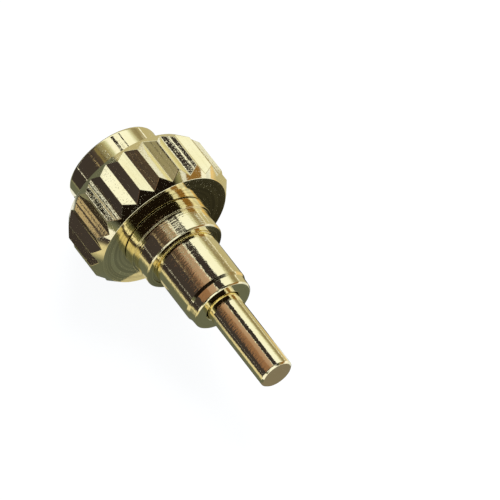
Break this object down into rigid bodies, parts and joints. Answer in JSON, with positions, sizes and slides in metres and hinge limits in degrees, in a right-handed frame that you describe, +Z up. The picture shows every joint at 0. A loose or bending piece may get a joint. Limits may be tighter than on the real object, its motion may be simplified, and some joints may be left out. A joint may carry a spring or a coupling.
{
  "type": "watch pusher",
  "caption": "Screw-locked push button for a chronograph watch case: fluted locking collar, sprung button on a sealed stem, stepped press-in tube.",
  "frame": {"origin": "centre of the tube's seat, the shoulder face that lands in the watch case, on the button's axis", "axes": "+X along the button's axis, outwards to the finger; the movement is at -X; +Z up, towards the dial side"},
  "size_m": [0.0109, 0.0058, 0.006],
  "materials": {
    "gold_plate": "polished gold plating over turned brass",
    "turned_brass": "turned, unplated",
    "spring_steel": "drawn and ground steel",
    "nitrile": "moulded nitrile rubber"
  },
  "bodies": {
    "tube": {"case_tube": "gold_plate", "gasket_retainer": "turned_brass", "gasket_spacer": "turned_brass", "guide_bush": "turned_brass", "inner_stem_gasket": "nitrile", "outer_stem_gasket": "nitrile", "spring_washer": "spring_steel", "return_spring": "spring_steel"},
    "button": {"stem": "gold_plate", "stop_washer": "spring_steel", "button_cap": "gold_plate"},
    "seal": {"cap_gasket": "nitrile"},
    "collar": {"locking_collar": "gold_plate"}
  },
  "joints": [
    {"name": "button_press", "type": "slide", "parent": "tube", "child": "button", "axis": [-1, 0, 0], "range_m": [0, 0.0006], "stiffness_N_per_m": 3000, "deforming": ["return_spring"]},
    {"name": "collar_lift", "type": "slide", "parent": "tube", "child": "seal", "axis": [1, 0, 0], "range_m": [0, 0.0005]},
    {"name": "collar_turn", "type": "hinge", "parent": "seal", "child": "collar", "pos_m": [0.0024, 0, 0], "axis": [1, 0, 0], "range_deg": [0, 720]}
  ],
  "couplings": [
    {"joint": "collar_turn", "follows": "collar_lift", "rad_per_m": 25133}
  ]
}
